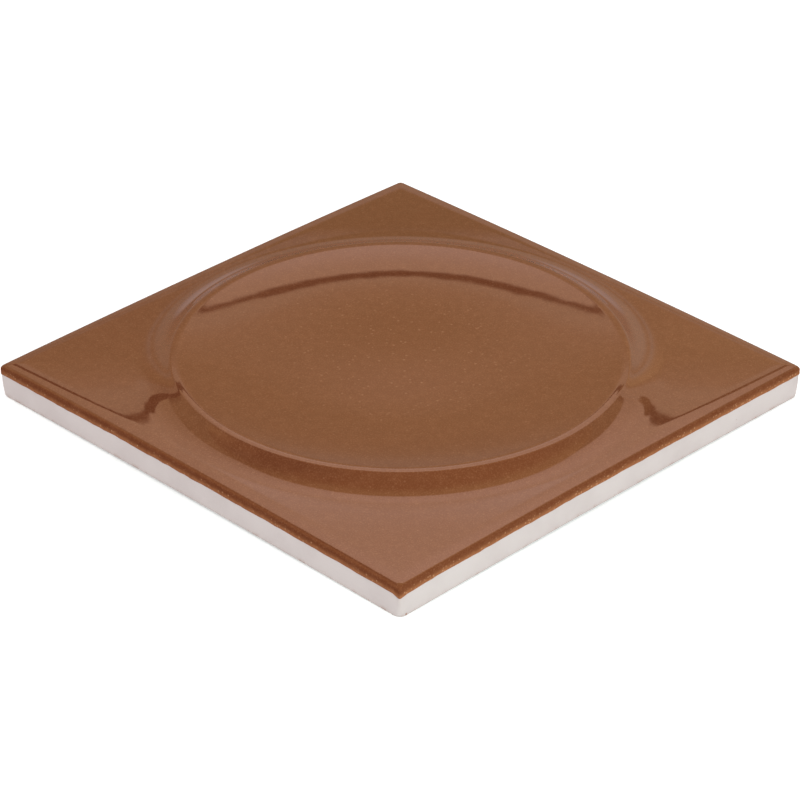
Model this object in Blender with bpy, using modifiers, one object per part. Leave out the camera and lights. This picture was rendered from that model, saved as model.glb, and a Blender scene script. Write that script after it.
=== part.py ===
"""A square glazed wall tile, pressed in one piece with a raised round disc and a shallow dish in its top.

Blender 4.5 script: run it with  blender --background --python part.py  or from the Text Editor.
The tile lies on its back with its face up and its edges along X and Y. The origin is at the middle
of the back, on the plane that it rests on. Dimensions are in millimetres, and the model in metres.
"""

import math

import bmesh
import bpy

MM = 0.001

# Outline and thickness
SIDE = 150.0
CORNER_THICKNESS = 9.5
CORNER_RADIUS = 0.5
FACE_EDGE_RADIUS = 1.2
BACK_EDGE_RADIUS = 0.5

# Crown: firing leaves the middle of the face this much higher than its corners
CROWN = 1.3

# Roll: the face falls away towards each edge, from this far in, by this much times the distance squared
ROLL_REACH = 5.5
ROLL_FALL = 0.0144

# Relief, from the middle outward: dish, rounded lip, narrow land, round shoulder, skirt, hollow foot
DISH_RADIUS = 58.4
DISH_RISE = math.radians(6.4)
DISH_POWER = 3.1
LIP_ROUND = 10.0
LAND_FALL = math.radians(3.3)
LAND_RADIUS = 60.3
SHOULDER_ROUND = 1.7
SKIRT_FALL = math.radians(32)
FOOT_START = 62.1
FOOT_ROUND = 16.0

# Back: straight grooves inside a plain border, which key the tile to its adhesive
GROOVE_COUNT = 14
GROOVE_PITCH = 9.0
GROOVE_WIDTH = 3.6
GROOVE_FLOOR_WIDTH = 2.6
GROOVE_LENGTH = 122.0
GROOVE_DEPTH = 0.7

# Steps of the mesh
SIDE_STEPS = 20
CORNER_STEPS = 2
DISH_STEPS = 9
LIP_STEPS = 2
LAND_STEPS = 1
SHOULDER_STEPS = 3
SKIRT_STEPS = 1
FOOT_STEPS = 6
FIELD_STEPS = 3
ROLL_STEPS = 2
FACE_EDGE_STEPS = 4
BACK_EDGE_STEPS = 2

GLAZE_COLOUR = (0.226, 0.092, 0.043, 1.0)
GLAZE_ROUGHNESS = 0.12

# Where the relief changes from one curve to the next, all worked out from the sizes above
HALF = SIDE / 2
FOOT_END = FOOT_START + FOOT_ROUND * math.sin(SKIRT_FALL)
FOOT_HEIGHT = FOOT_ROUND * (1 - math.cos(SKIRT_FALL))
SHOULDER_AXIS = LAND_RADIUS - SHOULDER_ROUND * math.sin(LAND_FALL)
SHOULDER_END = SHOULDER_AXIS + SHOULDER_ROUND * math.sin(SKIRT_FALL)
SHOULDER_BASE = (
    FOOT_HEIGHT
    + (FOOT_START - SHOULDER_END) * math.tan(SKIRT_FALL)
    - SHOULDER_ROUND * math.cos(SKIRT_FALL)
)
LAND_HEIGHT = SHOULDER_BASE + SHOULDER_ROUND * math.cos(LAND_FALL)
LIP_AXIS = DISH_RADIUS + LIP_ROUND * math.sin(DISH_RISE)
LIP_END = LIP_AXIS + LIP_ROUND * math.sin(LAND_FALL)
LIP_BASE = (
    LAND_HEIGHT
    + (LAND_RADIUS - LIP_END) * math.tan(LAND_FALL)
    - LIP_ROUND * math.cos(LAND_FALL)
)
DISH_TOP = LIP_BASE + LIP_ROUND * math.cos(DISH_RISE)
DISH_DEPTH = DISH_RADIUS * math.tan(DISH_RISE) / DISH_POWER

# The rounded edge takes over where the rolled face has the same slope, so that they meet smoothly
EDGE_TURN = math.atan(2 * ROLL_FALL * (ROLL_REACH - FACE_EDGE_RADIUS))
EDGE_INSET = FACE_EDGE_RADIUS * (1 - math.sin(EDGE_TURN))


def spread(first, last, steps):
    """Evenly spaced values after first, up to and including last."""
    return [first + (last - first) * (i + 1) / steps for i in range(steps)]


def crown_height(radius):
    """Height of the domed field above the corners of the face."""
    return CROWN * (1 - radius**2 / (2 * HALF**2))


def relief_height(radius):
    """Height above the field: dish, rounded lip, narrow land, round shoulder, skirt, hollow foot."""
    if radius < DISH_RADIUS:
        return DISH_TOP - DISH_DEPTH * (1 - (radius / DISH_RADIUS) ** DISH_POWER)
    if radius < LIP_END:
        return LIP_BASE + math.sqrt(LIP_ROUND**2 - (radius - LIP_AXIS) ** 2)
    if radius < LAND_RADIUS:
        return LAND_HEIGHT + (LAND_RADIUS - radius) * math.tan(LAND_FALL)
    if radius < SHOULDER_END:
        return SHOULDER_BASE + math.sqrt(SHOULDER_ROUND**2 - (radius - SHOULDER_AXIS) ** 2)
    if radius < FOOT_START:
        return FOOT_HEIGHT + (FOOT_START - radius) * math.tan(SKIRT_FALL)
    if radius < FOOT_END:
        return FOOT_ROUND - math.sqrt(FOOT_ROUND**2 - (FOOT_END - radius) ** 2)
    return 0.0


def roll(inset):
    """How far the face has fallen away at a distance in from the edge."""
    return ROLL_FALL * max(0.0, ROLL_REACH - inset) ** 2


def face_height(x, y):
    """Height of the face above the plane that the tile rests on."""
    radius = math.hypot(x, y)
    inset = HALF - max(abs(x), abs(y))
    return CORNER_THICKNESS + crown_height(radius) + relief_height(radius) - roll(inset)


def circle(radius):
    """Points round the disc, as many as outline() has, with one in the direction of each corner."""
    quarter = SIDE_STEPS + CORNER_STEPS
    first = 45 - 90 * (SIDE_STEPS + CORNER_STEPS / 2) / quarter
    angles = [math.radians(first + 90 * i / quarter) for i in range(4 * quarter)]
    return [(radius * math.cos(a), radius * math.sin(a)) for a in angles]


def outline(inset):
    """Points round the outline, moved in from the edge by inset. Its corners are rounder further in."""
    bend = CORNER_RADIUS + inset
    reach = HALF - inset
    straight = reach - bend
    side = [(reach, straight * (2 * i / SIDE_STEPS - 1)) for i in range(SIDE_STEPS)]
    turns = [math.pi / 2 * i / CORNER_STEPS for i in range(CORNER_STEPS)]
    corner = [(straight + bend * math.cos(a), straight + bend * math.sin(a)) for a in turns]
    points = []
    for quarter in range(4):
        c, s = round(math.cos(quarter * math.pi / 2)), round(math.sin(quarter * math.pi / 2))
        points += [(x * c - y * s, x * s + y * c) for x, y in side + corner]
    return points


def on_face(points):
    """The points lifted to the face."""
    return [(x, y, face_height(x, y)) for x, y in points]


def between(inner, outer, share):
    """A loop part of the way from one loop to another."""
    return [(a + (c - a) * share, b + (d - b) * share) for (a, b), (c, d) in zip(inner, outer)]


def sections():
    """Closed loops of points, from the middle of the dish over the edge to the back."""
    radii = spread(0, DISH_RADIUS, DISH_STEPS)
    radii += spread(DISH_RADIUS, LIP_END, LIP_STEPS)
    radii += spread(LIP_END, LAND_RADIUS, LAND_STEPS)
    radii += spread(LAND_RADIUS, SHOULDER_END, SHOULDER_STEPS)
    radii += spread(SHOULDER_END, FOOT_START, SKIRT_STEPS)
    radii += spread(FOOT_START, FOOT_END, FOOT_STEPS)
    loops = [on_face(circle(radius)) for radius in radii]

    foot, rolled, rim = circle(FOOT_END), outline(ROLL_REACH), outline(EDGE_INSET)
    loops += [on_face(between(foot, rolled, share)) for share in spread(0, 1, FIELD_STEPS)]
    loops += [on_face(between(rolled, rim, share)) for share in spread(0, 1, ROLL_STEPS)]

    drop = roll(EDGE_INSET) + FACE_EDGE_RADIUS * math.cos(EDGE_TURN)
    for turn in spread(EDGE_TURN, math.pi / 2, FACE_EDGE_STEPS):
        inset = FACE_EDGE_RADIUS * (1 - math.sin(turn))
        base = CORNER_THICKNESS - drop + FACE_EDGE_RADIUS * math.cos(turn)
        loops.append([(x, y, base + crown_height(math.hypot(x, y))) for x, y in outline(inset)])

    loops.append([(x, y, BACK_EDGE_RADIUS) for x, y in outline(0)])
    for turn in spread(0, math.pi / 2, BACK_EDGE_STEPS):
        inset = BACK_EDGE_RADIUS * (1 - math.cos(turn))
        height = BACK_EDGE_RADIUS * (1 - math.sin(turn))
        loops.append([(x, y, height) for x, y in outline(inset)])
    return loops


def loft(bm, loops):
    """Skins the loops in order, with a fan over the first and one flat face under the last."""
    rings = [[bm.verts.new([c * MM for c in point]) for point in loop] for loop in loops]
    middle = bm.verts.new((0, 0, face_height(0, 0) * MM))
    count = len(rings[0])
    for i in range(count):
        following = (i + 1) % count
        bm.faces.new((middle, rings[0][i], rings[0][following]))
        for inner, outer in zip(rings, rings[1:]):
            bm.faces.new((inner[i], outer[i], outer[following], inner[following]))
    bm.faces.new(reversed(rings[-1]))
    bmesh.ops.recalc_face_normals(bm, faces=bm.faces)


def new_object(name, bm, collection):
    """Turns a bmesh into an object in a collection."""
    mesh = bpy.data.meshes.new(name)
    bm.to_mesh(mesh)
    bm.free()
    obj = bpy.data.objects.new(name, mesh)
    collection.objects.link(obj)
    return obj


def groove_cutter(collection):
    """One groove, repeated across the back by an Array. Its sides slope on below the back."""
    bm = bmesh.new()
    bmesh.ops.create_cube(bm, size=1)
    for vertex in bm.verts:
        upward = 1 if vertex.co.z > 0 else -1
        narrowing = (GROOVE_WIDTH - GROOVE_FLOOR_WIDTH) * upward
        vertex.co.x *= (GROOVE_LENGTH - narrowing) * MM
        vertex.co.y *= (GROOVE_WIDTH - narrowing) * MM
        vertex.co.z = GROOVE_DEPTH * MM * upward
    cutter = new_object("groove_cutter", bm, collection)
    cutter.location.y = -GROOVE_PITCH * (GROOVE_COUNT - 1) / 2 * MM
    cutter.hide_render = True
    cutter.display_type = "WIRE"
    row = cutter.modifiers.new("row", "ARRAY")
    row.count = GROOVE_COUNT
    row.use_relative_offset = False
    row.use_constant_offset = True
    row.constant_offset_displace = (0, GROOVE_PITCH * MM, 0)
    return cutter


def glaze():
    """Glossy caramel brown glaze."""
    material = bpy.data.materials.new("caramel_glaze")
    material.use_nodes = True
    shader = material.node_tree.nodes["Principled BSDF"]
    shader.inputs["Base Color"].default_value = GLAZE_COLOUR
    shader.inputs["Roughness"].default_value = GLAZE_ROUGHNESS
    shader.inputs["Metallic"].default_value = 0.0
    return material


def new_collection(name):
    collection = bpy.data.collections.new(name)
    bpy.context.scene.collection.children.link(collection)
    return collection


def main():
    for obj in list(bpy.data.objects):
        bpy.data.objects.remove(obj)
    parts = new_collection("wall_tile")
    cutters = new_collection("cutters")

    bm = bmesh.new()
    loft(bm, sections())
    tile = new_object("tile", bm, parts)
    tile.data.materials.append(glaze())
    tile.data.shade_smooth()
    tile.data.set_sharp_from_angle(angle=math.radians(35))

    keying = tile.modifiers.new("back_grooves", "BOOLEAN")
    keying.operation = "DIFFERENCE"
    keying.object = groove_cutter(cutters)


if __name__ == "__main__":
    main()
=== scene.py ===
# %% [markdown]
# # A glazed wall tile
# A lesson in surfaces that are nearly flat. The tile is one pressed slab of pale clay, with a
# raised round disc and a very shallow dish in its top, under a glossy caramel glaze. Almost
# nothing about it can be seen except through what the glaze reflects, so its curves are modelled
# to hundredths of a millimetre, and the studio round it is modelled with as much care as the tile.

# %% Load the packed model
import math

import bmesh
import bpy
from mathutils import Matrix, Vector, noise


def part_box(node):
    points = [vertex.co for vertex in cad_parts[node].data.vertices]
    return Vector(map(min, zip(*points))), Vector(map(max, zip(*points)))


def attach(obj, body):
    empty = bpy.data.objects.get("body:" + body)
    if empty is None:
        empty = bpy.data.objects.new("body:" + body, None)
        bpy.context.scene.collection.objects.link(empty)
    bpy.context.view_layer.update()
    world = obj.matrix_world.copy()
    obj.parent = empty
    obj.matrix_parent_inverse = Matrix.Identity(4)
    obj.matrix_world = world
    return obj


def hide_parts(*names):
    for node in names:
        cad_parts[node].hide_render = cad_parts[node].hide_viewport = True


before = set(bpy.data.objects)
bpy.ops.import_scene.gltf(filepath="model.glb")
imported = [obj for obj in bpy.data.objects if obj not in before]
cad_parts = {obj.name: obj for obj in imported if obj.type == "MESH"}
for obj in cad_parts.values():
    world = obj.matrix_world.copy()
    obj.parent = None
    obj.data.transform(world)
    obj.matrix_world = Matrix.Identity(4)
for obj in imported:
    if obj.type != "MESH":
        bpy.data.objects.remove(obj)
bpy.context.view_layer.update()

MM = 0.001
low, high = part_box("tile")
SIDE = (high.x - low.x) / MM
HALF = SIDE / 2
print(f"tile {SIDE:.1f} mm square and {(high.z - low.z) / MM:.2f} mm high")

# %% [markdown]
# ## The camera
# The photograph was taken with a long lens, from over the front corner. The long lens keeps the
# far edges nearly parallel to the near ones. A camera is placed in the same way as a tripod: how
# far round, how far up, how far away. The small offsets are those of the middle of the picture
# from the middle of the tile. Distances here are in millimetres, as in the rest of this lesson.

# %% Camera
CAMERA_ROUND = math.radians(45.0166)
CAMERA_UP = math.radians(30.839)
CAMERA_ROLL = math.radians(0.07)
CAMERA_DISTANCE = 974.2
CAMERA_TARGET = Vector((0, 0, 0.65))
CAMERA_SLIDE = (-0.06, -1.91)
CAMERA_NEAREST, CAMERA_FARTHEST = 50, 20000
SENSOR = 36.0
LENS = 164.88

backwards = Vector((
    math.sin(CAMERA_ROUND) * math.cos(CAMERA_UP),
    -math.cos(CAMERA_ROUND) * math.cos(CAMERA_UP),
    math.sin(CAMERA_UP),
))
level_right = Vector((math.cos(CAMERA_ROUND), math.sin(CAMERA_ROUND), 0))
level_up = backwards.cross(level_right)
right = level_right * math.cos(CAMERA_ROLL) + level_up * math.sin(CAMERA_ROLL)
up = level_up * math.cos(CAMERA_ROLL) - level_right * math.sin(CAMERA_ROLL)

lens = bpy.data.cameras.new("lens")
lens.sensor_width = SENSOR
lens.lens = LENS
lens.clip_start = CAMERA_NEAREST * MM
lens.clip_end = CAMERA_FARTHEST * MM
camera = bpy.data.objects.new("camera", lens)
bpy.context.scene.collection.objects.link(camera)
stand = CAMERA_TARGET + backwards * CAMERA_DISTANCE
stand += level_right * CAMERA_SLIDE[0] + level_up * CAMERA_SLIDE[1]
facing = Matrix((right, up, backwards)).transposed().to_4x4()
camera.matrix_world = Matrix.Translation(stand * MM) @ facing
bpy.context.scene.camera = camera
print("camera at", [round(c, 1) for c in stand], "mm")

# %% [markdown]
# ## The pressed shape
# A ram presses damp clay powder into a steel die. The die gives the tile a round crest, a dish
# inside it, a sloping skirt outside it and a hollow foot where the skirt meets the plain field.
# Later, in the kiln, the glaze shrinks less than the clay, and pulls the whole slab into a very
# low dome. A height is a sum of such simple terms, so it is written as one, in millimetres. Each
# arc of the section starts where the slope before it ends, so the values below follow from a few.

# %% Heights of the face
EDGE_THICKNESS = 9.5
CORNER_RADIUS = 0.5
CROWN = 1.3
DISH_RADIUS = 58.3
DISH_RISE = math.radians(6.38)
DISH_POWER = 3.1
LIP_ROUND = 10.5
LAND_FALL = math.radians(3.1)
LAND_RADIUS = 60.3
SHOULDER_ROUND = 1.7
SKIRT_FALL = math.radians(32)
FOOT_START = 62.1
FOOT_ROUND = 16.0

FOOT_END = FOOT_START + FOOT_ROUND * math.sin(SKIRT_FALL)
FOOT_HEIGHT = FOOT_ROUND * (1 - math.cos(SKIRT_FALL))
SHOULDER_AXIS = LAND_RADIUS - SHOULDER_ROUND * math.sin(LAND_FALL)
SHOULDER_END = SHOULDER_AXIS + SHOULDER_ROUND * math.sin(SKIRT_FALL)
SHOULDER_BASE = (
    FOOT_HEIGHT
    + (FOOT_START - SHOULDER_END) * math.tan(SKIRT_FALL)
    - SHOULDER_ROUND * math.cos(SKIRT_FALL)
)
LAND_HEIGHT = SHOULDER_BASE + SHOULDER_ROUND * math.cos(LAND_FALL)
LIP_AXIS = DISH_RADIUS + LIP_ROUND * math.sin(DISH_RISE)
LIP_END = LIP_AXIS + LIP_ROUND * math.sin(LAND_FALL)
LIP_BASE = (
    LAND_HEIGHT
    + (LAND_RADIUS - LIP_END) * math.tan(LAND_FALL)
    - LIP_ROUND * math.cos(LAND_FALL)
)
DISH_TOP = LIP_BASE + LIP_ROUND * math.cos(DISH_RISE)
DISH_DEPTH = DISH_RADIUS * math.tan(DISH_RISE) / DISH_POWER


def crown(x, y):
    """How far the fired slab domes up at a place, above its corners."""
    return CROWN * (1 - (x * x + y * y) / (2 * HALF**2))


def relief(radius):
    """Height above the field: dish, rounded lip, sloping land, round shoulder, skirt, foot."""
    if radius < DISH_RADIUS:
        return DISH_TOP - DISH_DEPTH * (1 - (radius / DISH_RADIUS) ** DISH_POWER)
    if radius < LIP_END:
        return LIP_BASE + math.sqrt(LIP_ROUND**2 - (radius - LIP_AXIS) ** 2)
    if radius < LAND_RADIUS:
        return LAND_HEIGHT + (LAND_RADIUS - radius) * math.tan(LAND_FALL)
    if radius < SHOULDER_END:
        return SHOULDER_BASE + math.sqrt(SHOULDER_ROUND**2 - (radius - SHOULDER_AXIS) ** 2)
    if radius < FOOT_START:
        return FOOT_HEIGHT + (FOOT_START - radius) * math.tan(SKIRT_FALL)
    if radius < FOOT_END:
        return FOOT_ROUND - math.sqrt(FOOT_ROUND**2 - (FOOT_END - radius) ** 2)
    return 0.0


print(f"lip {relief(LIP_AXIS):.2f} mm over the field, dish {DISH_DEPTH:.2f} mm deep")

# %% [markdown]
# ## The glaze at the edges
# Molten glaze is pulled round by its own surface tension. It starts to fall away a few
# millimetres before the arris, goes round it, and stops part of the way down the side, where the
# clay was wiped clean. Its lower rim wanders by a few tenths of a millimetre, so smooth noise
# moves it up and down on its way round the tile. On the right it was wiped a little higher than
# on the left, and at the front corner it droops in a small tip.

# %% Edge of the glaze
EDGE_ROUND = 1.2
ROLL_REACH = 4.6
ROLL_FALL = 0.023
RIM_HEIGHT = 6.28
RIM_LIFT = 0.14
LIFT_REACH = 20.0
RIM_WANDER = 0.16
WANDER_WAVES = 0.09
WANDER_LAYER = 3.0
RIM_RAGGED = 0.18
RAGGED_WAVES = 0.9
RAGGED_LAYER = 9.0
RIM_THICKNESS = 0.14
RIM_ROUND = 0.22
DROOP = 0.5
DROOP_REACH = 1.6


def roll(inset):
    """How far the glaze has fallen away at a distance in from the edge."""
    return ROLL_FALL * max(0.0, ROLL_REACH - inset) ** 2


def rim_height(x, y):
    """Height of the glaze's lower rim, before the slab domes."""
    broad = noise.noise(Vector((x * WANDER_WAVES, y * WANDER_WAVES, WANDER_LAYER)))
    fine = noise.noise(Vector((x * RAGGED_WAVES, y * RAGGED_WAVES, RAGGED_LAYER)))
    from_corner = math.hypot(HALF - x, HALF + y)
    droop = DROOP * math.exp(-((from_corner / DROOP_REACH) ** 2))
    lift = RIM_LIFT * min(1.0, max(0.0, (x + y) / LIFT_REACH))
    return RIM_HEIGHT + lift + RIM_WANDER * broad + RIM_RAGGED * fine - droop


def edge_distance(x, y):
    """Distance in from the nearest edge."""
    return HALF - max(abs(x), abs(y))


def face(x, y):
    """Height of the glazed face, before the slab domes."""
    return EDGE_THICKNESS + relief(math.hypot(x, y)) - roll(edge_distance(x, y))


print(f"glaze falls {roll(0):.2f} mm to the edge, and droops to {rim_height(HALF, -HALF):.2f} mm")

# %% [markdown]
# ## Closed sections
# The body is a loft: a stack of closed loops, skinned from one to the next. It could also be a
# box with a lathed disc joined on, but then a seam would show in the reflections. Round the disc
# the loops are circles, and further out they are squares with rounded corners. All loops have the
# same number of points, with one on each diagonal, so the skin never twists.

# %% Circles and outlines
SIDE_STEPS = 72
CORNER_STEPS = 8


def spread(first, last, steps):
    """Evenly spaced values after first, up to and including last."""
    return [first + (last - first) * (i + 1) / steps for i in range(steps)]


def circle(radius):
    """A circle, with its points numbered as those of the square outline are."""
    quarter = SIDE_STEPS + CORNER_STEPS
    first = 45 - 90 * (SIDE_STEPS + CORNER_STEPS / 2) / quarter
    angles = [math.radians(first + 90 * i / quarter) for i in range(4 * quarter)]
    return [(radius * math.cos(a), radius * math.sin(a)) for a in angles]


def outline(inset, corner=CORNER_RADIUS):
    """The square with its corners rounded, moved in by inset. The corners get rounder inward."""
    bend = corner + inset
    straight = HALF - inset - bend
    edge = [(HALF - inset, straight * (2 * i / SIDE_STEPS - 1)) for i in range(SIDE_STEPS)]
    turns = [math.pi / 2 * i / CORNER_STEPS for i in range(CORNER_STEPS)]
    arc = [(straight + bend * math.cos(a), straight + bend * math.sin(a)) for a in turns]
    points = []
    for quarter in range(4):
        c = round(math.cos(quarter * math.pi / 2))
        s = round(math.sin(quarter * math.pi / 2))
        points += [(x * c - y * s, x * s + y * c) for x, y in edge + arc]
    return points


print(len(circle(LAND_RADIUS)), "points round the disc and", len(outline(0)), "round the tile")

# %% [markdown]
# ## The face and the glazed edge
# Loops are packed close where the surface bends, at the lip, the shoulder and the foot, and stand
# wider apart where it is plain. Each stretch of the disc is given by the radius where it ends and
# its number of loops. Between the foot of the disc and the edge each loop is a blend of the
# circle and the square. Then the loops go over the arris and down to the rim of the glaze,
# where a small round step leads in to the clay.

# %% Glazed loops
DISC_STRETCHES = [
    (40, 12),
    (DISH_RADIUS, 14),
    (LIP_END, 12),
    (LAND_RADIUS, 2),
    (SHOULDER_END, 8),
    (FOOT_START, 2),
    (FOOT_END, 14),
]
FIELD_STEPS = 18
ARRIS_STEPS = 9
DOWN_STEPS = 3
RIM_STEPS = 3

# The arris takes over where the face has the same slope, so that the two meet without a crease
ARRIS_TURN = math.atan(2 * ROLL_FALL * (ROLL_REACH - EDGE_ROUND))
ARRIS_INSET = EDGE_ROUND * (1 - math.sin(ARRIS_TURN))


def face_loops():
    """Loops over the disc and the field, out to where the arris starts to turn."""
    radii = []
    start = 0
    for stop, steps in DISC_STRETCHES:
        radii += spread(start, stop, steps)
        start = stop
    loops = [[(x, y, face(x, y)) for x, y in circle(radius)] for radius in radii]
    foot = circle(FOOT_END)
    rim = outline(ARRIS_INSET)
    for share in spread(0, 1, FIELD_STEPS):
        eased = share * (2 - share)
        field = [(a + (c - a) * eased, b + (d - b) * eased) for (a, b), (c, d) in zip(foot, rim)]
        loops.append([(x, y, face(x, y)) for x, y in field])
    return loops


def edge_loops():
    """Loops over the rounded arris, down to the glaze's rim and round it."""
    loops = []
    top = EDGE_THICKNESS - roll(ARRIS_INSET) - EDGE_ROUND * math.cos(ARRIS_TURN)
    for turn in spread(ARRIS_TURN, math.pi / 2, ARRIS_STEPS):
        inset = EDGE_ROUND * (1 - math.sin(turn))
        loops.append([(x, y, top + EDGE_ROUND * math.cos(turn)) for x, y in outline(inset)])
    for share in spread(0, 1, DOWN_STEPS):
        loops.append([
            (x, y, top + (rim_height(x, y) + RIM_ROUND - top) * share) for x, y in outline(0)
        ])
    for turn in spread(0, math.pi / 2, RIM_STEPS):
        inset = RIM_THICKNESS * (1 - math.cos(turn))
        drop = RIM_ROUND * math.sin(turn)
        loops.append([(x, y, rim_height(x, y) + RIM_ROUND - drop) for x, y in outline(inset)])
    return loops


glazed = face_loops() + edge_loops()
print(len(glazed), "glazed loops of", len(glazed[0]), "points")

# %% [markdown]
# ## The bare clay
# The side below the glaze is cut back by the glaze's thickness. Its corners get rounder on the
# way down, as those of the real tile do, and a small round runs along its lower edge. A few
# loops on the back keep the faces there from being long slivers.

# %% Clay loops
CLAY_SHARES = (0.3, 0.6, 0.8, 0.9, 1.0)
LOWER_ROUND = 0.25
LOWER_CORNER = 1.9
LOWER_STEPS = 4
BACK_INSETS = (0.8, 1.3, 3.0, 9.0)


def side_loops():
    """Loops down the bare clay, with corners that get rounder."""
    loops = []
    for share in CLAY_SHARES:
        corner = CORNER_RADIUS + (LOWER_CORNER - CORNER_RADIUS) * share**2
        loops.append([
            (x, y, rim_height(x, y) + (LOWER_ROUND - rim_height(x, y)) * share)
            for x, y in outline(RIM_THICKNESS, corner)
        ])
    return loops


def back_loops():
    """Loops round the lower arris, and smaller copies of the outline on the back."""
    loops = []
    for turn in spread(0, math.pi / 2, LOWER_STEPS):
        inset = RIM_THICKNESS + LOWER_ROUND * (1 - math.cos(turn))
        section = outline(inset, LOWER_CORNER)
        loops.append([(x, y, LOWER_ROUND * (1 - math.sin(turn))) for x, y in section])
    for inset in BACK_INSETS:
        scale = (HALF - inset) / HALF
        loops.append([(x * scale, y * scale, 0.0) for x, y in outline(0, LOWER_CORNER)])
    return loops


bare = side_loops() + back_loops()
print(len(bare), "bare loops below them")

# %% [markdown]
# ## The skin
# Each pair of loops is joined by a band of faces. The first loop and the last are each closed by
# a fan to a middle point. The dome of the fired slab is added here to every point, back and face
# alike, because it is the whole slab that bends.

# %% Skin the loops
def domed(x, y, z):
    """A point of the pressed tile, moved to where it is after firing, in metres."""
    return Vector((x, y, z + crown(x, y))) * MM


def skin(loops, bare_from):
    """A closed mesh through the loops. Faces from loop bare_from on get the second material."""
    bm = bmesh.new()
    rings = [[bm.verts.new(domed(*point)) for point in loop] for loop in loops]
    face_middle = bm.verts.new(domed(0, 0, face(0, 0)))
    back_middle = bm.verts.new(domed(0, 0, 0))
    count = len(rings[0])
    for i in range(count):
        following = (i + 1) % count
        bm.faces.new((face_middle, rings[0][i], rings[0][following]))
        for number, (inner, outer) in enumerate(zip(rings, rings[1:])):
            band = bm.faces.new((inner[i], outer[i], outer[following], inner[following]))
            band.material_index = int(number + 1 >= bare_from)
        under = bm.faces.new((rings[-1][i], back_middle, rings[-1][following]))
        under.material_index = 1
    bmesh.ops.recalc_face_normals(bm, faces=bm.faces)
    return bm


def new_object(name, bm, slots=1):
    """An object in the scene, with this many empty material slots."""
    mesh = bpy.data.meshes.new(name)
    bm.to_mesh(mesh)
    bm.free()
    for _ in range(slots):
        mesh.materials.append(None)
    made = bpy.data.objects.new(name, mesh)
    bpy.context.scene.collection.objects.link(made)
    return made


tile = new_object("glazed_tile", skin(glazed + bare, len(glazed)), slots=2)
print(len(tile.data.polygons), "faces in the tile")

# %% [markdown]
# ## The grooves of the back
# The lower die has ribs, which leave straight grooves for the adhesive to key into. They were
# pressed while the slab was flat, so the bars that cut them here are domed with it. Each bar has
# sloping sides, because a rib with upright ones could tear the clay as the tile is pushed out.

# %% Groove bars
GROOVE_COUNT = 14
GROOVE_PITCH = 9.0
GROOVE_WIDTH = 3.6
GROOVE_FLOOR_WIDTH = 2.6
GROOVE_LENGTH = 122.0
GROOVE_DEPTH = 0.7
GROOVE_END_TILT = (GROOVE_WIDTH - GROOVE_FLOOR_WIDTH) / 4
BAR_STEPS = 16


def groove_section(x, middle, tilt):
    """Four points across a bar, as far under the back as above it. An end tilts lengthwise."""
    top = GROOVE_FLOOR_WIDTH / 2
    foot = GROOVE_WIDTH / 2 + (GROOVE_WIDTH - GROOVE_FLOOR_WIDTH) / 2
    corners = [
        (-foot, -GROOVE_DEPTH),
        (-top, GROOVE_DEPTH),
        (top, GROOVE_DEPTH),
        (foot, -GROOVE_DEPTH),
    ]
    return [(x + (tilt if z > 0 else -tilt), middle + y, z) for y, z in corners]


def groove_bars():
    bm = bmesh.new()
    tilts = [GROOVE_END_TILT] + [0.0] * (BAR_STEPS - 1) + [-GROOVE_END_TILT]
    for number in range(GROOVE_COUNT):
        middle = GROOVE_PITCH * (number - (GROOVE_COUNT - 1) / 2)
        sections = []
        for step, tilt in enumerate(tilts):
            x = GROOVE_LENGTH * (step / BAR_STEPS - 0.5)
            points = groove_section(x, middle, tilt)
            sections.append([bm.verts.new(domed(*point)) for point in points])
        for first, second in zip(sections, sections[1:]):
            for i in range(4):
                bm.faces.new((first[i], first[i - 1], second[i - 1], second[i]))
        bm.faces.new(sections[0])
        bm.faces.new(reversed(sections[-1]))
    bmesh.ops.recalc_face_normals(bm, faces=bm.faces)
    return bm


bars = new_object("groove_bars", groove_bars(), slots=2)
for flank in bars.data.polygons:
    flank.material_index = 1
print(GROOVE_COUNT, "groove bars of", BAR_STEPS, "steps")

# %% [markdown]
# ## Cut the grooves
# A Boolean modifier takes the bars out of the slab. Its result is kept as a plain mesh, so that
# the bars can go. The faces are then shaded smooth, except where two meet at a real crease.

# %% Grooved tile
CREASE = math.radians(40)

cut = tile.modifiers.new("grooves", "BOOLEAN")
cut.operation = "DIFFERENCE"
cut.object = bars
evaluated = tile.evaluated_get(bpy.context.evaluated_depsgraph_get())
tile_mesh = bpy.data.meshes.new_from_object(evaluated)
tile.modifiers.clear()
tile.data = tile_mesh
bpy.data.objects.remove(bars)
tile_mesh.shade_smooth()
tile_mesh.set_sharp_from_angle(angle=CREASE)
print(len(tile_mesh.polygons), "faces with its grooves")

# %% [markdown]
# ## How thick the glaze is
# Each point keeps one number for the material to read: the share of its full thickness that the
# glaze has there. It thins to nothing over the last stretch above its rim. A second number tells
# how near a point of the bare clay is to its lower arris or to a corner. There the clay is made
# brown: partly a trace of glaze that wiping left behind, partly painted contact shade along the
# lower arris, where the tile meets the floor.
# Such numbers could be painted by hand, but here they follow from the rim, wherever it wanders.

# %% Coat, and edges with a glaze trace and painted shade
THIN_REACH = 2.2
TRACE_AND_SHADE_REACH = 1.1


def coat_share(x, y, z):
    """How much of its full thickness the glaze has at a point."""
    share = (z - crown(x, y) - rim_height(x, y)) / THIN_REACH
    return min(1.0, max(0.0, share))


# The edge number marks brown on the clay: a glaze trace, and painted contact shade along the lower
# arris
def trace_and_shade_share(x, y, z):
    """How near a point of the clay is to the lower arris or to a corner."""
    from_arris = math.hypot(z - crown(x, y), edge_distance(x, y))
    from_corner = math.hypot(HALF - abs(x), HALF - abs(y))
    return max(0.0, 1 - min(from_arris, from_corner) / TRACE_AND_SHADE_REACH)


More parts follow.
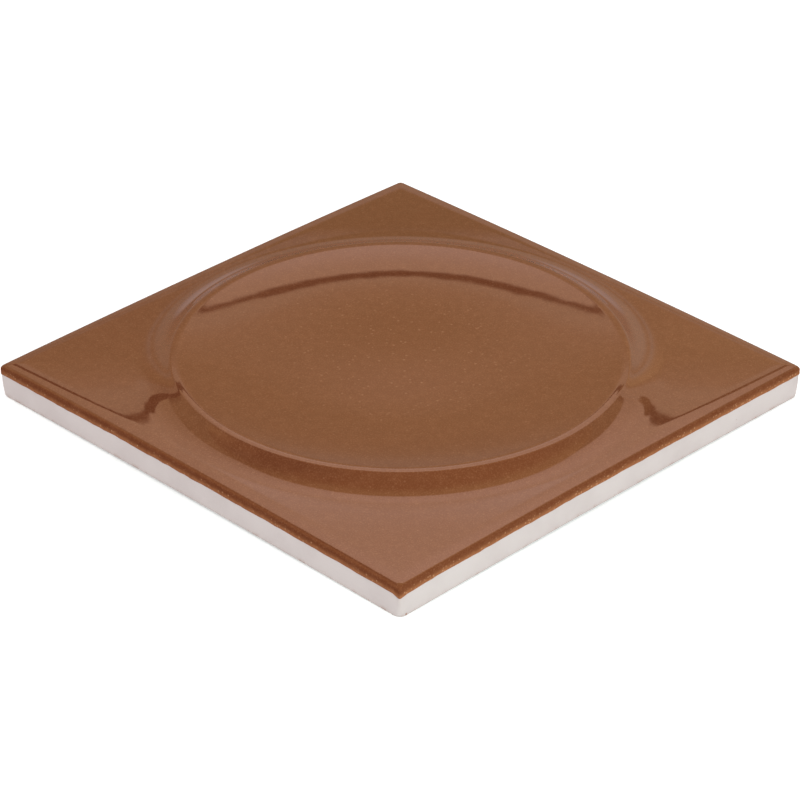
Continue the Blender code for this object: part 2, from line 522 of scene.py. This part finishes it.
for name, measure in (("coat", coat_share), ("worn", trace_and_shade_share)):
    layer = tile_mesh.attributes.new(name, "FLOAT", "POINT")
    for vertex, entry in zip(tile_mesh.vertices, layer.data):
        entry.value = measure(*(vertex.co / MM))
    print(name, "from", min(e.value for e in layer.data), "to", max(e.value for e in layer.data))

# %% [markdown]
# ## Shader maths as Python
# A node tree is easier to read as a formula. `Wire` holds one output socket, and its operators
# add Math nodes, so that `1 - mask * 0.5` works as it looks. Three more methods turn a wire into
# a mask: `rise` goes softly from 0 to 1, `fall` from 1 to 0, and `band` does one after the other.

# %% Wires
class Wire:
    """An output socket that can be used in Python arithmetic."""

    def __init__(self, nodes, socket):
        self.nodes = nodes
        self.socket = socket

    def math(self, operation, *values):
        return self.nodes.add("ShaderNodeMath", {"operation": operation}, list(values))

    def __add__(self, other):
        return self.math("ADD", self, other)

    def __radd__(self, other):
        return self.math("ADD", other, self)

    def __sub__(self, other):
        return self.math("SUBTRACT", self, other)

    def __rsub__(self, other):
        return self.math("SUBTRACT", other, self)

    def __mul__(self, other):
        return self.math("MULTIPLY", self, other)

    def __rmul__(self, other):
        return self.math("MULTIPLY", other, self)

    def __truediv__(self, other):
        return self.math("DIVIDE", self, other)

    def __rtruediv__(self, other):
        return self.math("DIVIDE", other, self)

    def __abs__(self):
        return self.math("ABSOLUTE", self)

    def rise(self, start, end):
        """0 up to start, 1 from end on, with a soft turn at both."""
        return self.nodes.add(
            "ShaderNodeMapRange",
            {"interpolation_type": "SMOOTHSTEP"},
            {"Value": self, "From Min": start, "From Max": end},
        )

    def fall(self, start, end):
        """1 up to start, 0 from end on."""
        return 1 - self.rise(start, end)

    def band(self, start, full, fading, end):
        """0 up to start, 1 from full to fading, 0 again from end on."""
        return self.rise(start, full) * self.fall(fading, end)


print("a wire can:", ", ".join(name for name in vars(Wire) if not name.startswith("_")))

# %% [markdown]
# ## Nodes in one line
# `Nodes.add` makes any node from its type, its settings, and the values or wires of its sockets.
# The settings come first, because some of them change which sockets a node has. Noise, a mix of
# two colours and a dot product are needed so often that they get short names of their own.

# %% Nodes
class Nodes:
    """The node tree of a material."""

    def __init__(self, tree):
        self.tree = tree

    def add(self, kind, settings=None, sockets=None, out=0):
        """One node. Its sockets are named in a dict, or given in order in a list."""
        node = self.tree.nodes.new(kind)
        for name, value in (settings or {}).items():
            if name == "stops":
                self.set_stops(node.color_ramp.elements, value)
            else:
                setattr(node, name, value)
        pairs = enumerate(sockets) if isinstance(sockets, list) else (sockets or {}).items()
        for name, value in pairs:
            socket = node.inputs[name]
            if isinstance(value, Wire):
                self.tree.links.new(value.socket, socket)
            else:
                socket.default_value = value
        return Wire(self, node.outputs[out])

    def set_stops(self, elements, stops):
        """The stops of a ramp, as pairs of place and colour."""
        while len(elements) < len(stops):
            elements.new(1.0)
        for element, (place, colour) in zip(elements, stops):
            element.position = place
            element.color = (*colour, 1)

    def noise(self, place, scale, detail):
        sockets = {"Vector": place, "Scale": scale, "Detail": detail, "Roughness": 0.5}
        return self.add("ShaderNodeTexNoise", None, sockets)

    def mix(self, share, first, second):
        """From the first colour to the second."""
        sockets = {"Factor": share, 6: first, 7: second}
        return self.add("ShaderNodeMix", {"data_type": "RGBA"}, sockets, out=2)

    def dot(self, place, axis):
        settings = {"operation": "DOT_PRODUCT"}
        return self.add("ShaderNodeVectorMath", settings, {0: place, 1: axis}, out="Value")

    def scaled(self, colour, factor):
        """A colour made lighter or darker."""
        sockets = {"Vector": colour, "Scale": factor}
        return self.add("ShaderNodeVectorMath", {"operation": "SCALE"}, sockets)

    def bump(self, height, distance, strength):
        sockets = {"Strength": strength, "Distance": distance, "Height": height}
        return self.add("ShaderNodeBump", None, sockets)

    def output(self, kind, surface):
        end = self.tree.nodes.new(kind)
        self.tree.links.new(surface.socket, end.inputs["Surface"])


def new_material(name):
    material = bpy.data.materials.new(name)
    material.use_nodes = True
    material.node_tree.nodes.clear()
    print("material", name)
    return material, Nodes(material.node_tree)


print("a node tree can:", ", ".join(name for name in vars(Nodes) if not name.startswith("_")))


# %% [markdown]
# ## Grains in the glaze
# Fine lighter grains hang in the glaze. A Voronoi pattern gives each of its cells a middle and a
# random colour. A grain is drawn round the middle, and only where one channel of that colour is
# high enough, so that some cells stay empty and the grains don't look like a grid.

# %% Grains
GRAIN_CORE, GRAIN_EDGE = 0.15, 0.45


def grains(nodes, place, scale, share):
    """Small round grains in a given share of a Voronoi pattern's cells."""
    pattern = {"feature": "F1"}
    sockets = {"Vector": place, "Scale": scale}
    distance = nodes.add("ShaderNodeTexVoronoi", pattern, sockets)
    tint = nodes.add("ShaderNodeTexVoronoi", pattern, sockets, out=1)
    chance = nodes.add("ShaderNodeSeparateColor", None, {"Color": tint})
    return distance.fall(GRAIN_CORE, GRAIN_EDGE) * chance.rise(1 - share, 1)


print(f"a grain fades out at {GRAIN_EDGE:.0%} of its cell's size")

# %% [markdown]
# ## The glaze
# A caramel glaze is a coloured glass over pale clay. Where it is thick it is dark and red-brown.
# Where it thins out, on its way down the side, the clay shines through, turns it orange and shows
# as pale specks. Its larger flecks are strongest in the middle of the dish, where the melt pooled.
# Each of these is a colour mixed in through a mask, and a mask of noise is one that rises over
# part of the noise's range. The surface is very smooth, so its roughness is low, and what it
# mirrors stays sharp. It is not quite flat: a bump a few thousandths of a millimetre high makes
# the mirrored edges waver, as they do in anything that was once liquid.

# %% Glaze material
GLAZE_COLOUR = (0.1240, 0.0350, 0.0143, 1)
DEEP_COLOUR = (0.1105, 0.0303, 0.0123, 1)
THIN_COLOUR = (0.262, 0.098, 0.044, 1)
GLAZE_ROUGHNESS = 0.03
GLAZE_IOR = 1.5
MOTTLE_SCALE, MOTTLE_MIX = 140, 0.35
DUST_SCALE, DUST_MIX = 2600, 0.22
GRAIN_COLOUR = (0.29, 0.118, 0.058, 1)
GRAIN_SCALE, GRAIN_SHARE, GRAIN_MIX = 1900, 0.55, 0.25
BLOTCH_SCALE, BLOTCH_MIX = 420, 0.07
FLECK_COLOUR = (0.33, 0.155, 0.085, 1)
FLECK_SCALE, FLECK_SHARE = 950, 0.22
FLECK_MIX, FLECK_POOL_MIX = 0.14, 0.30
POOL_CORE, POOL_EDGE = 12, 52
THIN_PATCH_SCALE = 900
THIN_EVEN, THIN_PATCHY = 0.6, 0.9
THIN_START, THIN_FULL = 0.15, 1.0
SPECK_COLOUR = (0.44, 0.22, 0.12, 1)
SPECK_SCALE, SPECK_SHARE, SPECK_MIX = 1400, 0.45, 0.7
SPECK_START, SPECK_FULL = 0.05, 0.45
WAVER_SCALE = 130
WAVER_HEIGHT = 7e-6


def clouded_glaze(nodes, place):
    """The colour of the full coat: soft clouds, dust, grains and blotches."""
    mottle = nodes.noise(place, MOTTLE_SCALE, 4)
    colour = nodes.mix(mottle.rise(0.35, 0.65) * MOTTLE_MIX, GLAZE_COLOUR, DEEP_COLOUR)
    dust = nodes.noise(place, DUST_SCALE, 1)
    colour = nodes.mix(dust.rise(0.45, 0.75) * DUST_MIX, colour, GRAIN_COLOUR)
    fine = grains(nodes, place, GRAIN_SCALE, GRAIN_SHARE)
    colour = nodes.mix(fine * GRAIN_MIX, colour, GRAIN_COLOUR)
    blotches = nodes.noise(place, BLOTCH_SCALE, 2)
    return nodes.mix(blotches.rise(0.4, 0.7) * BLOTCH_MIX, colour, GRAIN_COLOUR)


def flecks(nodes, place):
    """Larger grains, strongest in the middle of the dish."""
    radius = nodes.add("ShaderNodeVectorMath", {"operation": "LENGTH"}, {0: place}, out="Value")
    pool = (radius / MM).fall(POOL_CORE, POOL_EDGE)
    return grains(nodes, place, FLECK_SCALE, FLECK_SHARE) * (FLECK_MIX + pool * FLECK_POOL_MIX)


def glaze_material():
    material, nodes = new_material("caramel_glaze")
    place = nodes.add("ShaderNodeTexCoord", out="Object")
    coat = nodes.add("ShaderNodeAttribute", {"attribute_name": "coat"}, out="Fac")
    colour = nodes.mix(flecks(nodes, place), clouded_glaze(nodes, place), FLECK_COLOUR)

    patchy = nodes.noise(place, THIN_PATCH_SCALE, 3)
    thin = (1 - coat) * (THIN_EVEN + patchy * THIN_PATCHY)
    colour = nodes.mix(thin.rise(THIN_START, THIN_FULL), colour, THIN_COLOUR)
    specks = grains(nodes, place, SPECK_SCALE, SPECK_SHARE)
    specks = specks * (1 - coat).rise(SPECK_START, SPECK_FULL)
    colour = nodes.mix(specks * SPECK_MIX, colour, SPECK_COLOUR)

    waver = nodes.bump(nodes.noise(place, WAVER_SCALE, 1), WAVER_HEIGHT, 1.0)
    shader = nodes.add(
        "ShaderNodeBsdfPrincipled",
        None,
        {"Base Color": colour, "Roughness": GLAZE_ROUGHNESS, "IOR": GLAZE_IOR, "Normal": waver},
    )
    nodes.output("ShaderNodeOutputMaterial", shader)
    return material


tile_mesh.materials[0] = glaze_material()

# %% [markdown]
# ## The clay
# The bare clay is a fine white earthenware with a touch of pink. Up close it is matt and grainy,
# and its sharp edges carry a thin brown trace of glaze, broken into patches. Along the lower
# arris the same brown also stands for painted contact shade, where the tile meets the floor. A few
# brown splashes are on the right side and at the front corner. Each is a round spot at a place of
# its own.

# %% Clay material
CLAY_COLOUR = (0.525, 0.453, 0.4455, 1)
CLAY_SHADE = (0.493, 0.4205, 0.414, 1)
CLAY_ROUGHNESS = 0.75
CLOUD_SCALE = 90
# Brown of the glaze traces and splashes, also used as painted contact shade along the lower arris
TRACE_AND_SHADE_COLOUR = (0.27, 0.12, 0.07, 1)
TRACE_AND_SHADE_PATCH_SCALE = 420
TRACE_AND_SHADE_MIX, TRACE_AND_SHADE_PATCH_MIX = 0.14, 0.45
SPLASH_MIX = 0.8
SPLASH_CORE, SPLASH_EDGE = 0.5, 1.1
CLAY_GRAIN_SCALE = 3500
CLAY_GRAIN_HEIGHT = 4e-5
CLAY_GRAIN_STRENGTH = 0.6
SPLASHES = [
    ((74.9, -72.7, 0.5), 0.45),
    ((74.9, 46.4, 0.6), 0.22),
    ((74.9, 57.3, 0.5), 0.22),
    ((74.9, 74.5, 0.3), 0.4),
    ((74.9, 49.4, 3.3), 0.15),
    ((74.9, 49.5, 2.0), 0.12),
]


def splash(nodes, place, middle, radius):
    """1 on a small round splash, at a place in millimetres."""
    settings = {"operation": "DISTANCE"}
    distance = nodes.add("ShaderNodeVectorMath", settings, {0: place, 1: middle * MM}, out="Value")
    return (distance / (radius * MM)).fall(SPLASH_CORE, SPLASH_EDGE)


def clay_material():
    material, nodes = new_material("bare_clay")
    place = nodes.add("ShaderNodeTexCoord", out="Object")
    clouds = nodes.noise(place, CLOUD_SCALE, 4)
    colour = nodes.mix(clouds.rise(0.35, 0.7), CLAY_COLOUR, CLAY_SHADE)
    # Brown at the edges: partly a glaze trace, partly painted contact shade along the lower arris
    worn = nodes.add("ShaderNodeAttribute", {"attribute_name": "worn"}, out="Fac")
    patchy = nodes.noise(place, TRACE_AND_SHADE_PATCH_SCALE, 3)
    trace_shade_and_splash = worn * (TRACE_AND_SHADE_MIX + patchy.rise(0.52, 0.68) * TRACE_AND_SHADE_PATCH_MIX)
    for middle, radius in SPLASHES:
        spot = splash(nodes, place, Vector(middle), radius) * SPLASH_MIX
        trace_shade_and_splash = trace_shade_and_splash.math("MAXIMUM", trace_shade_and_splash, spot)
    colour = nodes.mix(trace_shade_and_splash, colour, TRACE_AND_SHADE_COLOUR)
    grain = nodes.noise(place, CLAY_GRAIN_SCALE, 2)
    normal = nodes.bump(grain, CLAY_GRAIN_HEIGHT, CLAY_GRAIN_STRENGTH)
    shader = nodes.add(
        "ShaderNodeBsdfPrincipled",
        None,
        {"Base Color": colour, "Roughness": CLAY_ROUGHNESS, "Normal": normal},
    )
    nodes.output("ShaderNodeOutputMaterial", shader)
    return material


tile_mesh.materials[1] = clay_material()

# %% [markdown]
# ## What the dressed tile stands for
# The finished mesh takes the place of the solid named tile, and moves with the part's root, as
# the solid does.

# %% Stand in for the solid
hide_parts("tile")
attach(tile, "root")
print(tile.name, "stands for the tile")

# %% [markdown]
# ## The floor and the even light
# The tile lies on a light table, such as a maker of catalogues would use: white paper that is lit
# from above by an even sky and glows a little by itself, so that no shadow is left on it. The
# glaze doesn't mirror the paper, because what it mirrors is painted further on.

# %% Floor and sky
FLOOR_SIZE = 6000
FLOOR_COLOUR = (0.97, 0.97, 0.97, 1)
FLOOR_GLOW = 0.15
SKY_LIGHT = 1.1
WHITE = (1, 1, 1, 1)


def paper_material():
    material, nodes = new_material("paper")
    shader = nodes.add(
        "ShaderNodeBsdfPrincipled",
        None,
        {
            "Base Color": FLOOR_COLOUR,
            "Roughness": 1.0,
            "Specular IOR Level": 0.0,
            "Emission Color": WHITE,
            "Emission Strength": FLOOR_GLOW,
        },
    )
    nodes.output("ShaderNodeOutputMaterial", shader)
    return material


def floor():
    bm = bmesh.new()
    bmesh.ops.create_grid(bm, x_segments=1, y_segments=1, size=FLOOR_SIZE * MM / 2)
    sheet = new_object("floor", bm)
    sheet.data.materials[0] = paper_material()
    sheet.visible_glossy = False


floor()
world = bpy.data.worlds.new("sky")
world.use_nodes = True
world.node_tree.nodes.clear()
sky = Nodes(world.node_tree)
even = sky.add("ShaderNodeBackground", None, {"Color": WHITE, "Strength": SKY_LIGHT})
sky.output("ShaderNodeOutputWorld", even)
bpy.context.scene.world = world
bpy.context.scene.view_settings.view_transform = "Standard"
bpy.context.scene.cycles.use_denoising = True
print("floor", FLOOR_SIZE, "mm wide under an even sky of strength", SKY_LIGHT)

# %% [markdown]
# ## A lamp at the front
# A lamp low on the right lights the bare clay on that side a little more than on the left. The
# glaze doesn't mirror it, as if it hung behind a sheet of tracing paper.

# %% Front lamp
LAMP_PLACE = (530, -250, 230)
LAMP_SIZE = 300
LAMP_POWER = 1.31
LAMP_COLOUR = (0.68, 1.0, 0.94)

lamp_light = bpy.data.lights.new("front_lamp", "AREA")
lamp_light.shape = "DISK"
lamp_light.size = LAMP_SIZE * MM
lamp_light.energy = LAMP_POWER
lamp_light.color = LAMP_COLOUR
lamp = bpy.data.objects.new("front_lamp", lamp_light)
bpy.context.scene.collection.objects.link(lamp)
lamp.location = Vector(LAMP_PLACE) * MM
lamp.rotation_euler = Vector(LAMP_PLACE).to_track_quat("Z", "Y").to_euler()
lamp.visible_glossy = False
print(f"lamp {Vector(LAMP_PLACE).length:.0f} mm from the tile")

# %% [markdown]
# ## The studio that the glaze mirrors
# Beyond the tile hangs a wide softbox. A narrow dark gap under it shows in the dish as a thin
# dark line. Below the gap is a warm backdrop, and above the softbox a dim ceiling. All of it
# could be built from panels and lamps, but then each small change of one would move the light on
# all the others. So it is painted on the inside of a sphere that only mirrored rays can see. A
# direction is given by its height above the horizon ahead and its angle to the side, both in
# degrees. Only the softbox's sides are given as places on the flat wall that it hangs on. The
# numbers that a mask of `height` or `side` rises or falls between are such angles too.

# %% Directions in the studio
STUDIO_RADIUS = 600
AHEAD = (-math.sin(CAMERA_ROUND), math.cos(CAMERA_ROUND), 0.0)
ACROSS = (math.cos(CAMERA_ROUND), math.sin(CAMERA_ROUND), 0.0)
UPWARD = (0.0, 0.0, 1.0)
DEGREES = 180 / math.pi
BLACK = (0, 0, 0, 1)


def directions(nodes):
    """Height ahead and angle to the side in degrees, and the place across a wall 1 unit ahead."""
    place = nodes.add("ShaderNodeTexCoord", out="Object")
    view = nodes.add("ShaderNodeVectorMath", {"operation": "NORMALIZE"}, {0: place})
    ahead = nodes.dot(view, AHEAD)
    across = nodes.dot(view, ACROSS)
    upward = nodes.dot(view, UPWARD)
    height = upward.math("ARCTAN2", upward, ahead) * DEGREES
    side = across.math("ARCSINE", across) * DEGREES
    return height, side, across / ahead


print("ahead is", [round(c, 2) for c in AHEAD])

# %% [markdown]
# ## The softbox
# A softbox is never even. This one is brighter towards its top, has a pale patch in the middle of
# its foot, and gets dimmer and more yellow towards both of its sides, more so on the left.

# %% Softbox
BOX_LEFT, BOX_RIGHT = -0.94, 1.20
BOX_TOP = 63.95
BOX_LOW_LIGHT = (1.9, 1.15, 0.74, 1)
BOX_HIGH_LIGHT = (3.02, 1.86, 1.35, 1)
BOX_FOOT_LIGHT = (2.42, 1.58, 1.23, 1)
BOX_EDGE_LIGHT = (0.9, 0.5, 0.14, 1)
BOX_FOOT_MIX = 0.85
BOX_LEFT_MIX, BOX_RIGHT_MIX = 0.67, 0.33


def softbox(nodes, height, side):
    light = nodes.mix(height.rise(33, 56), BOX_LOW_LIGHT, BOX_HIGH_LIGHT)
    foot = height.band(34, 37, 38, 41) * abs(side).fall(6, 12)
    light = nodes.mix(foot * BOX_FOOT_MIX, light, BOX_FOOT_LIGHT)
    to_its_sides = side.fall(-34, 0) * BOX_LEFT_MIX + side.rise(10, 36) * BOX_RIGHT_MIX
    return nodes.mix(to_its_sides, light, BOX_EDGE_LIGHT)


print(f"softbox up to {BOX_TOP:.0f} degrees, {BOX_RIGHT - BOX_LEFT:.2f} units wide")

# %% [markdown]
# ## The gap
# The softbox doesn't reach down to the backdrop. The gap between them is dark in the middle, with
# a little light in it towards the right. It isn't straight: it climbs and widens to both sides,
# and is pinched a few degrees off the middle.

# %% Gap
GAP_HEIGHT = 33.07
GAP_LIFT = 2.9
GAP_RIGHT_LIFTS = (0.3, 0.4)
GAP_WIDTH = 0.6
GAP_SIDE_WIDTH, GAP_LEFT_WIDTH = 1.5, 0.6
GAP_PINCH = 0.28
GAP_GLOW = (0.55, 0.30, 0.12, 1)
GAP_END_LIGHT = (1.6, 1.0, 0.62, 1)


def gap(nodes, side):
    """Height of its lower edge, its width, and the little light that comes through it."""
    off_middle = abs(side)
    pinch = off_middle.band(2.5, 3.1, 4, 6) * GAP_PINCH
    lower = GAP_HEIGHT + off_middle.rise(7.5, 20) * GAP_LIFT + pinch
    lower = lower + side.rise(8, 18) * GAP_RIGHT_LIFTS[0] + side.rise(14, 34) * GAP_RIGHT_LIFTS[1]
    width = GAP_WIDTH + off_middle.rise(11, 19) * GAP_SIDE_WIDTH - pinch
    width = width + side.fall(-26, -18) * GAP_LEFT_WIDTH
    light = nodes.mix(side.rise(8, 24), BLACK, GAP_GLOW)
    return lower, width, nodes.mix(side.rise(28, 33), light, GAP_END_LIGHT)


print(f"gap {GAP_WIDTH} degrees wide in the middle, at {GAP_HEIGHT} degrees")

# %% [markdown]
# ## The backdrop
# Warm cloth hangs from the gap down to the floor and below. It is dark at its foot, paler halfway
# up, and warm again under the softbox, whose light spills over it. A dull strip crosses its
# middle, a warm glow is on its left, and a pale reflector stands low on each side. The stops of
# its ramp are heights in degrees, each with the light at that height.

# %% Backdrop
BACKDROP_FOOT, BACKDROP_TOP = -20, 33
BACKDROP_STOPS = [
    (-20, (0.24, 0.12, 0.07)),
    (-5, (0.40, 0.22, 0.13)),
    (2, (0.48, 0.27, 0.165)),
    (11, (0.75, 0.50, 0.33)),
    (18, (0.88, 0.60, 0.40)),
    (22, (0.83, 0.49, 0.26)),
    (24.4, (0.95, 0.63, 0.41)),
    (25.2, (0.95, 0.61, 0.37)),
    (26.5, (0.95, 0.56, 0.29)),
    (28, (0.97, 0.55, 0.26)),
    (30.5, (1.07, 0.61, 0.28)),
    (31.4, (1.25, 0.72, 0.36)),
    (32.0, (1.34, 0.77, 0.41)),
    (32.7, (1.54, 0.95, 0.57)),
]
STRIP = (0.67, 0.42, 0.18, 1)
LEFT_GLOW = (0.90, 0.40, 0.12, 1)
LEFT_GLOW_MIX = 0.25
REFLECTOR = (0.85, 0.65, 0.58, 1)
REFLECTOR_MIX = 0.85
REFLECTOR_SIDES = (-16, 15)
REFLECTOR_HEIGHT = 5
REFLECTOR_HALF_WIDTH, REFLECTOR_HALF_HEIGHT = 6, 7
REFLECTOR_CORE, REFLECTOR_EDGE = 0.1, 1.6
LEVEL_LEFT, LEVEL_STEP = 0.88, 0.12
RIGHT_GAIN, RIGHT_TOP_GAIN = 0.3, 0.25
FAR_LEFT_GAIN, FAR_LEFT_LOSS = 0.4, 0.25


def reflector(height, side, middle):
    """A soft oval patch, centred low at an angle to the side."""
    across = (side - middle) / REFLECTOR_HALF_WIDTH
    upward = (height - REFLECTOR_HEIGHT) / REFLECTOR_HALF_HEIGHT
    return (across * across + upward * upward).fall(REFLECTOR_CORE, REFLECTOR_EDGE)


def backdrop_level(height, side):
    """How much brighter or darker the cloth is than its ramp, from side to side."""
    under_top = height.fall(29.5, 31.5)
    to_the_right = side.rise(-2, 34) * (RIGHT_GAIN + height.rise(22, 28) * RIGHT_TOP_GAIN)
    far_left = side.fall(-36, -20) * (under_top * FAR_LEFT_GAIN - FAR_LEFT_LOSS)
    level = LEVEL_LEFT + side.rise(-14, 2) * LEVEL_STEP
    return level + to_the_right * under_top + far_left


def backdrop(nodes, height, side):
    span = BACKDROP_TOP - BACKDROP_FOOT
    stops = [((place - BACKDROP_FOOT) / span, colour) for place, colour in BACKDROP_STOPS]
    share = (height - BACKDROP_FOOT) / span
    light = nodes.add("ShaderNodeValToRGB", {"stops": stops}, {"Fac": share})
    light = nodes.scaled(light, backdrop_level(height, side))
    light = nodes.mix(side.fall(-30, -18) * LEFT_GLOW_MIX, light, LEFT_GLOW)
    strip = height.band(19, 21.5, 23.8, 24.5) * abs(side).fall(5, 10)
    light = nodes.mix(strip, light, STRIP)
    for middle in REFLECTOR_SIDES:
        patch = reflector(height, side, middle) * REFLECTOR_MIX
        light = nodes.mix(patch, light, REFLECTOR)
    return light


print(len(BACKDROP_STOPS), "stops on the backdrop, and", len(REFLECTOR_SIDES), "reflectors")

# %% [markdown]
# ## The ceiling and the walls
# Above the softbox is a dim ceiling, a little brighter just right of the middle, with a darker
# panel on the left, and black at its far left end. Plain warm walls stand beside the softbox, in
# the dark near their feet. Under the edge of the table there is nothing on the left, and a warm
# glow on the right. Most of this shows only where the skirt and the edges mirror it.

# %% Ceiling and side walls
CEILING_NEAR = (1.50, 0.78, 0.30, 1)
CEILING_FAR = (1.00, 0.39, 0.12, 1)
CEILING_LEFT_LOSS = 0.57
CEILING_RIGHT_LOSSES = (0.15, 0.4)
CEILING_MIDDLE_GAIN = 0.18
PANEL_MIX = 0.5
WALL_LIGHT = (0.98, 0.57, 0.25)
WALL_FOOT_LEVEL = 0.5
BELOW_LIGHT = (0.63, 0.28, 0.11, 1)


def ceiling(nodes, height, side):
    light = nodes.mix(height.rise(68, 86), CEILING_NEAR, CEILING_FAR)
    loss = side.band(-46, -38, -26, -4) * CEILING_LEFT_LOSS
    loss = loss + side.rise(18, 27) * CEILING_RIGHT_LOSSES[0]
    loss = loss + side.rise(30, 45) * CEILING_RIGHT_LOSSES[1]
    light = nodes.scaled(light, 1 + side.rise(2, 10) * CEILING_MIDDLE_GAIN - loss)
    panel = height.rise(66, 72) * side.band(-37, -33, -25, -19)
    light = nodes.mix(panel * PANEL_MIX, light, BLACK)
    return nodes.mix(side.rise(-85, -50), BLACK, light)


def wall(nodes, height):
    level = WALL_FOOT_LEVEL + height.rise(39, 44) * (1 - WALL_FOOT_LEVEL)
    return nodes.scaled(WALL_LIGHT, level)


def below(nodes, side):
    return nodes.mix(side.rise(-20, 20), BLACK, BELOW_LIGHT)


print(f"ceiling from {BOX_TOP:.0f} degrees up")

# %% [markdown]
# ## The whole studio in one material
# Each part of the studio is a light and a mask. The walls come first, and the others are laid
# over them in turn, as sheets of paper would be. The edges between them are soft, because a lamp
# has no knife-sharp edge and a sharp one would flicker from pixel to pixel.

# %% Studio material
BOX_SIDE_SOFT = 0.05
BOX_LEFT_INNER_SOFT = 0.03
BOX_TOP_SOFT = 1.5
GAP_INNER_SOFT, GAP_OUTER_SOFT = 0.1, 0.15
BELOW_START, BELOW_END = -30, -60


def studio_material():
    material, nodes = new_material("studio")
    height, side, on_wall = directions(nodes)
    lower, width, gap_light = gap(nodes, side)
    in_backdrop = (height - lower).fall(-GAP_OUTER_SOFT, GAP_INNER_SOFT)
    over_gap = (height - lower - width).rise(-GAP_INNER_SOFT, GAP_OUTER_SOFT)
    in_box = on_wall.band(
        BOX_LEFT - BOX_SIDE_SOFT,
        BOX_LEFT + BOX_LEFT_INNER_SOFT,
        BOX_RIGHT - BOX_SIDE_SOFT,
        BOX_RIGHT + BOX_SIDE_SOFT,
    )
    in_ceiling = height.rise(BOX_TOP - BOX_TOP_SOFT, BOX_TOP + BOX_TOP_SOFT)
    over_table = height.rise(BELOW_END, BELOW_START)

    light = nodes.mix(in_box, wall(nodes, height), softbox(nodes, height, side))
    light = nodes.mix(in_ceiling, light, ceiling(nodes, height, side))
    light = nodes.mix(over_gap, gap_light, light)
    light = nodes.mix(in_backdrop, light, backdrop(nodes, height, side))
    light = nodes.mix(over_table, below(nodes, side), light)
    shader = nodes.add("ShaderNodeEmission", None, {"Color": light, "Strength": 1.0})
    nodes.output("ShaderNodeOutputMaterial", shader)
    return material


painted = studio_material()
print(len(painted.node_tree.nodes), "nodes paint the studio")

# %% [markdown]
# ## The sphere
# The sphere stands round the tile, and every kind of ray but the mirrored ones passes through it.
# So it neither hides the floor and the sky nor lights them.

# %% Studio sphere
STUDIO_SEGMENTS, STUDIO_RINGS = 96, 48

bm = bmesh.new()
bmesh.ops.create_uvsphere(
    bm, u_segments=STUDIO_SEGMENTS, v_segments=STUDIO_RINGS, radius=STUDIO_RADIUS * MM
)
shell = new_object("studio", bm)
shell.data.materials[0] = painted
shell.visible_camera = False
shell.visible_diffuse = False
shell.visible_transmission = False
shell.visible_volume_scatter = False
shell.visible_shadow = False
print(f"sphere {2 * STUDIO_RADIUS} mm across")

# %% [markdown]
